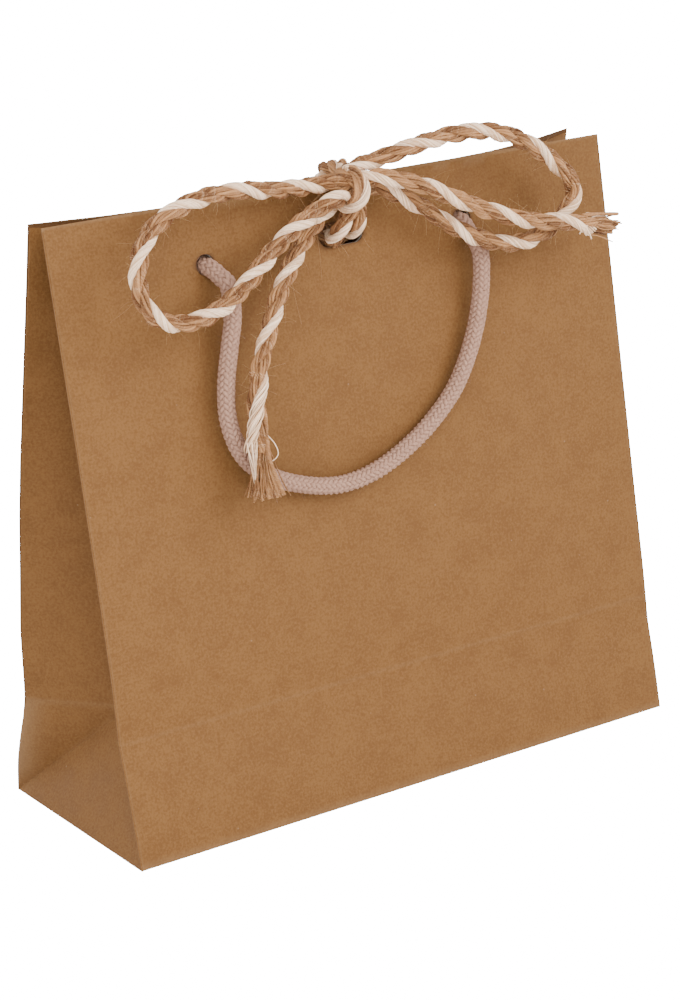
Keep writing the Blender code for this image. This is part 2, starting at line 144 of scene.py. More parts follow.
def run_of(points):
    """Distance gone along a line of points, at each of them."""
    steps = np.linalg.norm(np.diff(points, axis=0), axis=1)
    return np.concatenate([[0], np.cumsum(steps)])


def smooth_curve(points, spacing):
    """Catmull-Rom curve through the points, resampled evenly. Spacing in metres."""
    p = np.asarray(points, float)
    p = np.vstack([2 * p[0] - p[1], p, 2 * p[-1] - p[-2]])
    t = np.linspace(0, 1, 24, endpoint=False)[:, None]
    parts = []
    for a, b, c, d in zip(p, p[1:], p[2:], p[3:]):
        parts.append(0.5 * (2 * b + (c - a) * t + (2 * a - 5 * b + 4 * c - d) * t ** 2
                            + (3 * b - a - 3 * c + d) * t ** 3))
    fine = np.vstack([*parts, p[-2][None]])
    return resample(fine, spacing)


def resample(points, spacing):
    """Points at even steps along a line of points."""
    gone = run_of(points)
    wanted = np.linspace(0, gone[-1], max(2, round(gone[-1] / spacing)) + 1)
    return np.stack([np.interp(wanted, gone, points[:, k]) for k in range(3)], axis=1)


def spun(angle, side, third):
    """Directions at these angles about a curve, from its side towards its third direction."""
    return np.cos(angle)[:, None] * side + np.sin(angle)[:, None] * third


def unit(v):
    return v / np.maximum(np.linalg.norm(v, axis=-1, keepdims=True), 1e-12)


def frames_along(points, start=(0.0, 0.0, 1.0)):
    """A tangent, a side and a third direction that turn as little as they can along a curve."""
    tangent = unit(np.gradient(points, axis=0))
    side = np.zeros_like(points)
    first = np.array(start) - tangent[0] * np.dot(start, tangent[0])
    if np.linalg.norm(first) < 0.1:
        first = np.array([1.0, 0, 0]) - tangent[0] * tangent[0][0]
    side[0] = first / np.linalg.norm(first)
    for k in range(1, len(points)):
        v = side[k - 1] - tangent[k] * np.dot(side[k - 1], tangent[k])
        side[k] = v / np.linalg.norm(v)
    return tangent, side, np.cross(tangent, side)


# ---- meshes

UV_UNITS = 100     # UVs are in centimetres


class Bundle:
    """Many round tubes gathered into one mesh, each with its own tone."""

    def __init__(self):
        self.points, self.faces, self.uvs, self.tones = [], [], [], []
        self.count = 0

    def tube(self, path, radius, sides, tone=None, twist=0.0):
        """A capped tube, of a random tone if none is given. Twist slants its UVs, so that a
        yarn's fibres wind round it."""
        tone = random.uniform(0, 1) if tone is None else tone
        path = np.asarray(path, float)
        n = len(path)
        _, side, third = frames_along(path)
        angle = np.linspace(0, FULL_TURN, sides, endpoint=False)[None, :, None]
        radius = np.broadcast_to(np.asarray(radius, float), (n,))[:, None, None]
        ring = np.cos(angle) * side[:, None] + np.sin(angle) * third[:, None]
        self.points.append((path[:, None] + ring * radius).reshape(-1, 3))
        gone = run_of(path) * UV_UNITS
        j, i = np.meshgrid(np.arange(sides), np.arange(n - 1))
        a, b = i * sides + j, i * sides + (j + 1) % sides
        quads = np.stack([a, b, b + sides, a + sides], axis=-1).reshape(-1, 4) + self.count
        self.faces.extend(quads.tolist())
        wide = FULL_TURN * float(np.mean(radius)) * UV_UNITS / sides
        low, high = gone[i], gone[i + 1]
        left = j * wide + twist * low
        slant = twist * (high - low)
        corners = ((left, low), (left + wide, low),
                   (left + wide + slant, high), (left + slant, high))
        uv = np.stack([np.stack(corner, -1) for corner in corners], axis=2)
        self.uvs.append(uv.reshape(-1, 2))
        first = list(range(self.count + sides - 1, self.count - 1, -1))
        last = list(range(self.count + (n - 1) * sides, self.count + n * sides))
        for cap in (first, last):
            self.faces.append(cap)
            self.uvs.append(np.zeros((sides, 2)))
        self.tones.append(np.repeat(np.broadcast_to(np.asarray(tone, float), (n,)), sides))
        self.count += n * sides

    def build(self, name, material):
        thing = mesh_object(name, np.vstack(self.points), self.faces, material,
                            np.concatenate(self.tones), np.vstack(self.uvs))
        thing.data.shade_smooth()
        return thing


def mesh_object(name, points, faces, material, tones, uvs=None):
    """A mesh with a tone at each point, which its material reads."""
    data = bpy.data.meshes.new(name)
    data.from_pydata(np.asarray(points).tolist(), [], faces)
    if uvs is not None:
        data.uv_layers.new(name="UVMap").data.foreach_set("uv", np.asarray(uvs, np.float32).ravel())
    layer = data.attributes.new("tone", "FLOAT", "POINT")
    layer.data.foreach_set("value", np.asarray(tones, np.float32))
    data.materials.append(material)
    return placed(name, data)


@contextmanager
def edited(data):
    """A mesh opened for editing, and written back afterwards."""
    form = bmesh.new()
    form.from_mesh(data)
    yield form
    form.to_mesh(data)
    form.free()


def discard(thing):
    data = thing.data
    bpy.data.objects.remove(thing)
    bpy.data.meshes.remove(data)


def apply_modifiers(thing):
    """Swaps a piece's mesh for its evaluated one, so no modifier is left."""
    graph = bpy.context.evaluated_depsgraph_get()
    fresh = bpy.data.meshes.new_from_object(thing.evaluated_get(graph))
    thing.modifiers.clear()
    old = thing.data
    thing.data = fresh
    bpy.data.meshes.remove(old)
    fresh.name = thing.name


# ---- materials

NOISE_ROUGHNESS = 0.55
SPOT_CORE = 0.55     # a spot is solid within this share of its radius


class Shader:
    """Builds one node material. Lengths in the nodes are in metres, or centimetres on UVs."""

    def __init__(self, name, roughness, specular):
        self.material = bpy.data.materials.new(name)
        self.material.use_nodes = True
        tree = self.material.node_tree
        self.nodes, self.links = tree.nodes, tree.links
        self.surface = self.nodes["Principled BSDF"]
        self.surface.inputs["Roughness"].default_value = roughness
        self.surface.inputs["Specular IOR Level"].default_value = specular
        self.place = self.nodes.new("ShaderNodeTexCoord")

    def add(self, kind, inputs):
        """A new node with these inputs, each a number, a colour or another node's output."""
        node = self.nodes.new("ShaderNode" + kind)
        for key, value in inputs.items():
            socket = node.inputs[key]
            if isinstance(value, bpy.types.NodeSocket):
                self.links.new(value, socket)
            else:
                socket.default_value = value
        return node

    def stretched(self, scale, space="Object"):
        return self.add("Mapping", {"Vector": self.place.outputs[space], "Scale": scale}).outputs[0]

    def noise(self, scale, detail=3.0, rough=NOISE_ROUGHNESS, vector=None):
        vector = vector or self.place.outputs["Object"]
        return self.add("TexNoise", {"Vector": vector, "Scale": scale, "Detail": detail,
                                     "Roughness": rough}).outputs["Fac"]

    def math(self, kind, a, b):
        node = self.add("Math", {0: a, 1: b})
        node.operation = kind
        return node.outputs[0]

    def times(self, a, b):
        return self.math("MULTIPLY", a, b)

    def plus(self, a, b):
        return self.math("ADD", a, b)

    def span(self, value, low, high, to_low=0.0, to_high=1.0):
        return self.add("MapRange", {"Value": value, "From Min": low, "From Max": high,
                                     "To Min": to_low, "To Max": to_high}).outputs["Result"]

    def mix(self, amount, a, b):
        node = self.nodes.new("ShaderNodeMix")
        node.data_type = "RGBA"
        for key, value in ((0, amount), (6, a), (7, b)):
            if isinstance(value, bpy.types.NodeSocket):
                self.links.new(value, node.inputs[key])
            else:
                node.inputs[key].default_value = (*value, 1) if key else value
        return node.outputs[2]

    def spots(self, cell, size, share):
        """Round spots in some cells of a grid of random points."""
        cells = self.add("TexVoronoi", {"Vector": self.place.outputs["Object"], "Scale": 1 / cell})
        near = self.span(cells.outputs["Distance"], size / cell, SPOT_CORE * size / cell)
        pick = self.add("SeparateColor", {0: cells.outputs["Color"]})
        return self.times(near, self.math("LESS_THAN", pick.outputs[0], share))

    def attribute(self, name):
        node = self.nodes.new("ShaderNodeAttribute")
        node.attribute_name = name
        return node.outputs["Fac"]

    def feed(self, name, socket):
        self.links.new(socket, self.surface.inputs[name])

    def bump(self, height, distance, strength):
        node = self.add("Bump", {"Height": height, "Distance": distance, "Strength": strength})
        self.feed("Normal", node.outputs["Normal"])


PLAIN = 0.5          # a tone above this is paler paper, part wear and part painted highlight, and below it painted shade
DARK_SPECK, PALE_SPECK = (0.030, 0.012, 0.005), (0.27, 0.18, 0.11)
# Pale paper for wear and painted highlight, and dark paper for painted shade.
WORN_AND_HIGHLIT_PAPER, SHADED_PAPER = (0.28, 0.18, 0.10), (0.045, 0.020, 0.009)


def kraft(name, dark, light):
    """Kraft paper: cloudy pulp, fine grain, fibres both ways, specks, pale creases (wear and
    painted highlight), and painted shade where the tone is low.
    """
    s = Shader(name, 0.68, 0.10)
    cloud = s.noise(95, 3.0, 0.6)
    fine = s.noise(1300, 3.0, 0.6)
    across = s.noise(1.0, 2.0, 0.5, s.stretched((260, 260, 1500)))
    along = s.noise(1.0, 2.0, 0.5, s.stretched((1500, 1500, 300)))
    fibres = s.plus(across, along)
    tone = s.plus(s.plus(s.times(cloud, 0.26), s.times(fine, 0.56)), s.times(fibres, 0.09))
    base = s.mix(s.span(tone, 0.42, 0.58), dark, light)
    base = s.mix(s.times(s.spots(0.0090, 0.00042, 0.06), 0.75), base, DARK_SPECK)
    base = s.mix(s.times(s.spots(0.0070, 0.00038, 0.30), 0.35), base, PALE_SPECK)
    # Paler where the tone is high: creases and edges, part wear and part painted highlight, and
    # painted highlight on the gussets.
    wear_and_highlight = s.span(s.attribute("tone"), PLAIN, 1.0)
    base = s.mix(s.times(wear_and_highlight, 0.30), base, WORN_AND_HIGHLIT_PAPER)
    # Darker where the tone is low: painted shade inside the bag.
    shade = s.span(s.attribute("tone"), PLAIN, 0.0)
    s.feed("Base Color", s.mix(s.times(shade, 0.60), base, SHADED_PAPER))
    s.bump(s.plus(s.times(fine, 0.6), s.times(fibres, 0.4)), 0.00022, 0.35)
    s.feed("Roughness", s.span(cloud, 0.3, 0.7, 0.56, 0.70))
    return s.material


def grey_card():
    """Grey board: fine grain, fibres one way and dark specks."""
    s = Shader("grey_card", 0.85, 0.2)
    fine = s.noise(1200, 3.0)
    fibre = s.noise(1.0, 2.0, 0.5, s.stretched((400, 1800, 1800)))
    tone = s.plus(s.times(fine, 0.5), s.times(fibre, 0.5))
    base = s.mix(s.span(tone, 0.35, 0.65), (0.20, 0.18, 0.16), (0.30, 0.28, 0.25))
    s.feed("Base Color", s.mix(s.times(s.spots(0.006, 0.0004, 0.4), 0.6), base, (0.12, 0.10, 0.08)))
    s.bump(tone, 0.0002, 0.4)
    return s.material


def yarn(name, dark, light, pale, streak, roughness, depth):
    """Spun fibre: fine streaks along the yarn, tone from yarn to yarn, painted shade and highlight
    carried by the mesh's tone on cores and braids, and pale stray fibres.
    """
    s = Shader(name, roughness, 0.2)
    streaks = s.noise(1.0, 3.0, 0.65, s.stretched((streak, streak / 14, 1), "UV"))
    broad = s.noise(160, 2.0)
    tone = s.plus(s.times(streaks, 0.50), s.times(broad, 0.12))
    # The mesh's tone: random from yarn to yarn, low on cores and dipping braid strands as painted
    # shade, high on rising ones as painted highlight.
    tone = s.plus(tone, s.times(s.attribute("tone"), 0.38))
    base = s.mix(s.span(tone, 0.34, 0.66), dark, light)
    stray = s.noise(1.0, 1.0, 0.5, s.stretched((streak * 1.6, streak / 20, 1), "UV"))
    base = s.mix(s.span(stray, 0.60, 0.72), base, pale)
    s.feed("Base Color", base)
    s.bump(streaks, depth, 0.8)
    return s.material


# Name and colours, then for yarns the streaks per centimetre, the roughness and the bump's depth.
KRAFT = kraft("kraft_paper", (0.125, 0.0555, 0.0170), (0.160, 0.0755, 0.0252))
KRAFT_INSIDE = kraft("kraft_inside", (0.140, 0.062, 0.021), (0.176, 0.083, 0.030))
CARD_GREY = grey_card()
JUTE = yarn("jute", (0.120, 0.045, 0.015), (0.42, 0.205, 0.085), (0.66, 0.42, 0.24),
            40, 0.75, 0.0004)
JUTE_HAIR = yarn("jute_hair", (0.26, 0.13, 0.055), (0.45, 0.26, 0.13), (0.6, 0.4, 0.25),
                 20, 0.7, 0.00005)
COTTON = yarn("cotton", (0.62, 0.38, 0.215), (0.98, 0.735, 0.525), (1.0, 0.82, 0.63),
              60, 0.8, 0.00020)
BRAID = yarn("handle_cotton", (0.068, 0.031, 0.020), (0.340, 0.196, 0.138), (0.42, 0.265, 0.195),
             50, 0.85, 0.00020)


# ---- cords: ribbon and handles

PITCH = 0.0200             # one turn of the three strands
STRAND_OFFSET = 0.00140
STRAND_CORE = 0.00098
YARNS, YARN_RADIUS, YARN_OFFSET, YARN_PITCH = 9, 0.00044, 0.00113, 0.0240
THREADS, THREAD_RADIUS, THREAD_OFFSET, THREAD_PITCH = 17, 0.00026, 0.00128, 0.034
THREAD_CORE = 0.00114
UNLAID_SWELL, UNLAID_SLACK = 0.22, 0.75
FIBRE_SAG = np.array([0, 0, -0.12])

# The jute of a cut end, as thinnest, thickest, how many to a strand, and how far they scatter.
CLUMPS, WISPS = (0.00056, 0.00086, 12, 0.00115), (0.00014, 0.00030, 30, 0.00135)
CUT_THREADS, CUT_THREAD_RADIUS, CUT_THREAD_SCATTER = 22, 0.00024, 0.00110
STRAY_RADIUS = 0.00016


def settle(piece, slot, *nodes):
    """Fixes a piece to the bag, in place of its CAD nodes."""
    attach(piece, "bag")
    if nodes:
        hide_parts(*nodes)


def wave(s, amount, step):
    """Slow random change along a rope, at each distance s."""
    knots = random.normal(0, amount, max(4, int(s[-1] / step) + 3))
    return np.interp(s / step, np.arange(len(knots)), knots)


def lay_ribbon(jute, white, path, phase, start=(0.0, 0.0, 1.0), squeeze=1.0,
               pitches=(PITCH, PITCH), unlaid=0.0):
    """Three strands twisted together: two of jute yarns and one of cotton threads. The lay goes
    evenly from the first pitch to the second, and a yarn keeps one tone, so the yarns read apart.
    Over the unlaid length at the end the twist dies away and the strands part."""
    tangent, side, third = frames_along(path, start)
    s = run_of(path)
    late = np.clip((s - s[-1] + unlaid) / unlaid, 0, 1) if unlaid else np.zeros_like(s)
    swell = 1 + UNLAID_SWELL * late ** 2
    gone = s - UNLAID_SLACK * unlaid * late ** 2 / 2
    turned = gone / pitches[0] + (1 / pitches[1] - 1 / pitches[0]) * gone ** 2 / (2 * s[-1])
    strands = []
    for k in range(3):
        angle = phase + FULL_TURN * (k / 3 + turned) + wave(s, 0.10, 0.012)
        radial = spun(angle, side, third)
        offset = STRAND_OFFSET * squeeze * swell * (1 + wave(s, 0.03, 0.01))
        centre = path + radial * offset[:, None]
        strands.append(centre)
        if k == 0:
            threads(white, centre, radial, np.cross(tangent, radial), s, squeeze, swell, late)
            continue
        # A dark core, tone 0: painted shade in the gaps between the yarns.
        jute.tube(centre, STRAND_CORE * squeeze, 8, tone=0.0)
        for ply in range(YARNS):
            turn = FULL_TURN * (ply / YARNS + 0.37 * k - s / YARN_PITCH) + wave(s, 0.16, 0.006)
            away = YARN_OFFSET * squeeze * swell * (1 + wave(s, 0.10, 0.005))
            thick = YARN_RADIUS * squeeze * (1 + wave(s, 0.13, 0.003))
            line = centre + spun(turn, side, third) * away[:, None]
            jute.tube(line, thick, 8, twist=1.4)
    return strands


def threads(bundle, centre, radial, around, s, squeeze, swell, late):
    """Soft parallel cotton threads round a core, looser where the rope is unlaid."""
    # A dark core, tone 0: painted shade in the gaps between the threads.
    bundle.tube(centre, THREAD_CORE * squeeze, 8, tone=0.0)
    for k in range(THREADS):
        angle = FULL_TURN * (k / THREADS + s / THREAD_PITCH) + wave(s, 0.08, 0.008)
        loose = 1 + wave(s, 0.05, 0.006) + random.uniform(-0.3, 0.85) * late
        reach = THREAD_OFFSET * squeeze * loose * swell
        line = centre + spun(angle, radial, around) * reach[:, None]
        thick = THREAD_RADIUS * squeeze * random.uniform(0.88, 1.08)
        bundle.tube(line, thick, 6, twist=0.5)


def fuzz(name, path, count, longest, material, near=0.0022, thick=0.000034):
    """Stray fibres that stand off a rope, thin and curved."""
    bundle = Bundle()
    tangent, side, third = frames_along(path)
    t = np.linspace(0, 1, 6)[:, None]
    for _ in range(count):
        k = int(random.integers(0, len(path)))
        angle = random.uniform(0, FULL_TURN)
        out = math.cos(angle) * side[k] + math.sin(angle) * third[k]
        around = math.cos(angle) * third[k] - math.sin(angle) * side[k]
        lean, swirl = random.normal(0, 0.9), random.normal(0, 0.6)
        heading = unit(out * random.uniform(0.5, 1.2) + tangent[k] * lean + around * swirl)
        length = min(longest, 0.0010 + random.exponential(0.0016))
        bend = unit(random.normal(0, 1, 3)) * length * random.uniform(0.15, 0.6)
        root = path[k] + out * near * random.uniform(0.6, 1.15)
        line = root + heading * length * t + bend * t ** 2 + FIBRE_SAG * length * t ** 2
        bundle.tube(line, thick * (1.1 - 0.6 * t[:, 0]) * random.uniform(0.7, 1.5), 3)
    return bundle.build(name, material)


def fray(name, path, strands, spread, reach, breadth, tip, stray):
    """A cut end let loose: the jute opens into a brush, and the cotton draws together to a tip."""
    jute, white = Bundle(), Bundle()
    heading = unit(path[-1] - path[-6])
    t = np.linspace(0, 1, 10)[:, None]
    for k, strand in enumerate(strands):
        lane = strand[-1] - path[-1]
        outward = unit(lane)
        sideways = np.cross(heading, outward)
        if k == 0:
            for _ in range(CUT_THREADS):
                rim = random.normal(0, CUT_THREAD_SCATTER, 2) * breadth
                offset = outward * rim[0] + sideways * rim[1]
                line = strand[-6] + offset + heading * (0.0060 + random.uniform(0, 0.0080)) * t
                line = line - offset * 0.8 * t ** 1.5 + np.array(tip) * (1 - (1 - t) ** 3)
                white.tube(line, CUT_THREAD_RADIUS * (1 - 0.5 * t[:, 0]), 5)
            continue
        for thinnest, thickest, count, scatter in (CLUMPS, WISPS):
            for _ in range(count):
                rim = random.normal(0, scatter, 2) * breadth
                offset = outward * rim[0] + sideways * rim[1]
                length = reach * random.uniform(0.86, 1.04)
                flare = (lane * 0.9 + offset * 1.35) * spread * random.uniform(0.8, 1.1)
                bend = random.normal(0, 0.035, 3) * length * breadth
                line = strand[-7] + offset * (0.55 + 0.45 * t) + heading * (length + 0.0048) * t
                curl = random.normal(0, 0.00030, 3) * breadth
                line = line + flare * t ** 2.4 + bend * np.sin(t * math.pi)
                line = line + curl * np.sin(t * 9 + random.uniform(0, 6))
                lumps = 1 + 0.15 * np.sin(t[:, 0] * 9) - 0.2 * t[:, 0] ** 3
                jute.tube(line, random.uniform(thinnest, thickest) * lumps, 6, twist=1.0)
    if stray:
        line = smooth_curve([on_front(*p) for p in stray], 0.0004)
        white.tube(line, STRAY_RADIUS, 5, tone=0.8)
    return jute.build(name + "_jute_fibres", JUTE), white.build(name + "_cotton_threads", COTTON)


# What each part of the bow does inside the knot, before its route and after it.
KNOT_IN = {
    "left_loop": ([(.0015, .0085, .1972), (-.0035, .008, .1982)],
                  [(-.0053, .0112, .1945), (-.001, .0085, .1955)]),
    "right_loop": ([(-.0015, .0088, .2012), (.0035, .0088, .203)],
                   [(.004, .0082, .1966), (-.0005, .0085, .1968)]),
    "left_tail": ([(-.001, .006, .1945), (-.005, .005, .1928)], []),
    "right_tail": ([(-.001, .0105, .1985), (.0035, .0125, .1992)], []),
}
BOW = [    # name, route, phase of the cotton strand, pitches, far end
    ("left_loop", LEFT_LOOP_ROUTE, 0.012, (.02525, .0197), "object"),
    ("right_loop", RIGHT_LOOP_ROUTE, 0.005, (.02364, .02364), "object"),
    ("left_tail", LEFT_TAIL_ROUTE, 1.25, (.0206, .0206), "bare"),
    ("right_tail", RIGHT_TAIL_ROUTE, -0.558, (.02485, .02485), "bare"),
]
STRAY = [(-.0469, .0135, .1272), (-.0457, .015, .1248), (-.0449, .0155, .1225),
         (-.0445, .015, .1205), (-.0455, .0145, .1191), (-.0469, .0135, .1184)]
LOOSE = {    # unlaid length, then the fray's spread, reach, breadth, cotton tip and stray thread
    "left_tail": (0.034, 0.95, 0.0145, 1.0, (-.0009, -.0017, .0004), STRAY),
    "right_tail": (0.006, 0.12, 0.0106, 0.74, (-.0008, .0016, .0046), []),
}
LOOP_HAIRS, TAIL_HAIRS = 620, 330


def ribbon(name, path, phase, **lay):
    """One piece of ribbon and its strands' middles, with a material for each of its fibres."""
    jute, white = Bundle(), Bundle()
    strands = lay_ribbon(jute, white, path, phase, **lay)
    rope = jute.build(name, JUTE)
    soft = white.build(name + "_white", COTTON)
    with edited(rope.data) as form:
        first = len(form.faces)
        form.from_mesh(soft.data)
        form.faces.ensure_lookup_table()
        for face in form.faces[first:]:
            face.material_index = 1
    rope.data.materials.append(COTTON)
    discard(soft)
    return rope, strands


def bow():
    """The two loops and the two tails, each a cord that starts inside the knot."""
    for name, route, phase, pitches, far_end in BOW:
        before, after = KNOT_IN[name]
        path = smooth_curve([on_front(*p) for p in before + route + after], 0.0008)
        unlaid, *ending = LOOSE.get(name, (0.0,))
        rope, strands = ribbon(f"ribbon_{name}_rope", path, phase, pitches=pitches, unlaid=unlaid)
        settle(rope, "jute_ribbon", f"ribbon_{name}")
        count = TAIL_HAIRS if ending else LOOP_HAIRS
        extra = [fuzz(f"ribbon_{name}_hairs", path[8:], count, 0.012, JUTE_HAIR)]
        if ending:
            fibres, soft = fray(f"ribbon_{name}_end", path, strands, *ending)
            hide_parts(f"ribbon_{name[:-5]}_frayed_end")
            extra += [fibres, soft]
        for piece in extra:
            settle(piece, "jute_ribbon")


def tied_part(name, points, phase, nodes=(), hairs=120, squeeze=1.0, pitch=PITCH):
    """Ribbon drawn tight round the mouth or in the knot."""
    path = smooth_curve(points, 0.0006)
    rope, _ = ribbon(name, path, phase, start=(1.0, 0.0, 0.0), squeeze=squeeze,
                     pitches=(pitch, pitch))
    settle(rope, "jute_ribbon", *nodes)
    settle(fuzz(name + "_hairs", path, hairs, 0.006, JUTE_HAIR), "jute_ribbon")


# Points are off the front wall, but TURN_BACK's are off the back wall, and TURN_OVER's are y and z.
WRAP = [(.0006, .003, .2004), (-.0002, .006, .2016), (-.0004, .0095, .2012),
        (-.0004, .0128, .1996), (-.0009, .0145, .1969), (-.0018, .0145, .1942),
        (-.003, .0128, .1926), (-.0032, .0092, .1922), (-.0022, .006, .193)]
KNOT_CORE = [(-.0045, .006, .195), (.0000, .0068, .1975), (.0022, .006, .194),
             (-.001, .0052, .191)]
TURNS = [    # name, route in front, x in the slot, over the mouth and at the knot, phase, pitch
    ("left", [(-.0005, .0085, .1925), (-.0014, .0085, .1902), (-.0032, .0074, .1874),
              (-.005, .006, .1844), (-.0054, .003, .1821), (-.0042, -.001, .1813)],
     -.004, .0016, .0004, -2.233, .0182),
    ("right", [(.0004, .0088, .1932), (.0006, .009, .1912), (.0015, .0082, .1885),
               (.0018, .0066, .186), (.0025, .0034, .1838), (.0034, -.001, .1824)],
     .0034, .0054, .0034, -2.1, PITCH),
]
TURN_BACK = [(-.0011, .1825), (.0024, .1825), (.0049, .1842), (.0052, .188), (.0042, .194)]
TURN_OVER = [(.0092, .1987), (.0068, .2009), (.002, .2018), (-.0035, .2018), (-.0085, .2014)]
TURN_SINK = .0024     # how far the turns are pressed down on the mouth


def ribbon_turns():
    """Both turns, out of the knot, through the slots, up the back wall and over the mouth."""
    for name, front, slot_x, over_x, end_x, phase, pitch in TURNS:
        route = [on_front(*point) for point in front]
        for k, (out, up) in enumerate(TURN_BACK):
            x = slot_x + (over_x - slot_x) * max(0, k - 1) / len(TURN_BACK)
            route.append(on_back(x, out - BACK_IN * (0.6 + 0.4 * k / 4), up))
        last = len(TURN_OVER) - 1
        for k, (y, z) in enumerate(TURN_OVER):
            x = over_x + (end_x - over_x) * (k / last) ** 2
            route.append(np.array([x, y - BACK_IN * (1 - k / last), z - TURN_SINK]))
        route.append(np.array([end_x + .0016, -.0125, .1965]))
        tied_part(f"ribbon_{name}_turn_rope", route, phase, [f"ribbon_{name}_turn"],
                  squeeze=0.96, pitch=pitch)
    tied_part("ribbon_knot_wrap", [on_front(*p) for p in WRAP], -1.70, ["ribbon_knot"],
              160, 1.08, 0.048)
    tied_part("ribbon_knot_core", [on_front(*p) for p in KNOT_CORE], 0.9, hairs=40)


BRAID_CARRIERS, BRAID_PITCH = 10, 0.0190
BRAID_SWING, BRAID_STRAND = 0.18, 0.200    # of the rope's radius, the second for 12 carriers
KNOT_REACH = -.0058                        # how far inside the wall a handle's knot lies
KNOT_SPREAD, KNOT_DEPTH, KNOT_ROPE = 0.00125, 0.0010, 0.0017
LINT_LENGTH = 0.0018


def braid(bundle, path, radius, carriers, pitch, sides=5):
    """Round braid: carriers in both directions, each over two and under two."""
    _, side, third = frames_along(path)
    s = run_of(path)
    swing = BRAID_SWING * radius
    thick = BRAID_STRAND * radius * 12 / carriers
    middle = radius - thick - swing
    q = 2 * carriers * s / pitch
    for k in range(carriers):
        for way in (1, -1):
            angle = FULL_TURN * (k / carriers + way * s / pitch)
            lift = way * np.sin(FULL_TURN * ((2 * k + way * q) / 4 + 1 / 8))
            line = path + spun(angle, side, third) * (middle + swing * lift)[:, None]
            # Painted shade and highlight: each carrier is lighter where it rises over the others
            # and darker where it dips under them.
            tone = np.clip(0.50 + 0.55 * lift + random.uniform(-0.1, 0.1), 0, 1)
            bundle.tube(line, thick * 1.02, sides, tone, twist=0.3)
    # The dark core, tone 0, is painted shade between the carriers.
    bundle.tube(path, middle - thick * 0.5, 10, tone=0.0)


def knot_in_rope(place, x, name, node):
    """A small overhand knot inside the wall."""
    t = np.linspace(0, FULL_TURN, 90)
    loop = np.stack([np.sin(t) + 2 * np.sin(2 * t), np.cos(t) - 2 * np.cos(2 * t),
                     -np.sin(3 * t)], axis=1)
    centre = place(x, KNOT_REACH, HOLE_HEIGHT)
    out = unit(place(x, 1.0, 0) - place(x, 0, 0))
    up = unit(place(x, 0, 1.0) - place(x, 0, 0))
    flat = loop[:, :1] * np.cross(out, up) + loop[:, 1:2] * up
    points = centre + KNOT_SPREAD * flat + KNOT_DEPTH * loop[:, 2:] * out
    bundle = Bundle()
    braid(bundle, resample(points, 0.0005), KNOT_ROPE, 8, 0.010, 4)
    settle(bundle.build(name, BRAID), "cotton_rope", node)


def handles():
    """Each handle: a braided rope with lint through its holes, and a small knot at each end inside
    the wall, which is fixed to the bag.
    """
    first, last = HOLE_XS
    for side, place, knot_place in (("front", on_front, on_front), ("back", on_back, back_place)):
        inside = [place(first + .0006, -.0040, HOLE_HEIGHT - .0006),
                  place(first + .0008, .0004, HOLE_HEIGHT - .0011),
                  place(first + .0017, .0042, HOLE_HEIGHT - .0039)]
        outside = [place(last + .0002, .0040, HOLE_HEIGHT - .0050),
                   place(last, .0006, HOLE_HEIGHT - .0012),
                   place(last, -.0040, HOLE_HEIGHT - .0008)]
        route = [place(*p) for p in HANDLE_ROUTE[1:-1]]
        path = smooth_curve(inside + route + outside, 0.00042)
        if side == "back":
            path[:, 1] += back_shift(path)
        bundle = Bundle()
        braid(bundle, path, ROPE / 2, BRAID_CARRIERS, BRAID_PITCH)
        rope = bundle.build(f"{side}_handle_braid", BRAID)
        lint = fuzz(f"{side}_handle_lint", path[12:-12], 420, LINT_LENGTH, BRAID, 0.0028, 0.000028)
        for piece in (rope, lint):
            tuple(place(0, -.0005, .1818))
            tuple(place(0, .0065, .1745))
            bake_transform(piece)
        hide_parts(f"{side}_handle_rope")
        for hand, x in zip(("left", "right"), HOLE_XS):
            knot_in_rope(knot_place, x, f"{side}_{hand}_rope_knot", f"{side}_handle_{hand}_knot")


# ---- paper

def eased(x, table, width=0.010):
    """A table of values read as a smooth curve."""
    keys, values = zip(*table)
    steps = np.linspace(-width, width, 9)
    weight = np.cos(steps / width * math.pi / 2) ** 2
    x = np.asarray(x, float)
    return sum(w * np.interp(x + d, keys, values) for w, d in zip(weight, steps)) / weight.sum()


# How far back from the middle the back wall's top edge bows, along x.
BACK_TOP = [(-.115, .0056), (-.096, .003), (-.082, .0014), (-.06, .0003), (0, 0), (.05, 0),
            (.068, .0008), (.084, .0028), (.096, .0056), (.115, .0105)]
BACK_IN = 0.0060             # how far the ribbon draws the back wall's top in
FRONT_TWIST = 0.0018         # how far the front wall's top is turned at its ends
BACK_CREASE_DROP = 0.0035    # the gusset's crease meets the back edge this much lower
FRONT_CREASE_RISE = 0.0019   # and the front edge this much higher
APEX_OUT = 0.0033            # the base triangle's tip stands out from the leaves' fold

# How far each upright edge bows out of a straight line, by height: it is dented at the crease.
EDGE_BOW = {
    "front": ([(0, 0), (.012, -.0002), (.028, -.0011), (.0398, -.0021), (.048, -.0013),
               (.06, -.0004), (.09, .0002), (.13, .0004), (.2, 0)],
              [(0, .0003), (.012, 0), (.022, -.0005), (.031, -.0012), (.04, -.0008),
               (.05, -.0005), (.08, -.0004), (.12, 0), (.16, .0004), (.2, .0007)]),
    "back": ([(0, .0006), (.012, .0002), (.02, -.0009), (.029, -.0019), (.0368, -.0029),
              (.045, -.0017), (.05, -.0008), (.06, .0008), (.08, .0016), (.1, .0026),
              (.12, .0026), (.14, .0019), (.16, .0012), (.18, .0005), (.2, .0001)],
             [(0, .0003), (.02, -.0006), (.038, -.0016), (.05, -.0004), (.08, .001),
              (.12, .0016), (.16, .0008), (.2, 0)]),
}
RIPPLES = ((.15, .21, .22), (.083, .12, .13), (.047, .071, .06))    # wavelengths and share
RIPPLE_SIZE = 0.00055
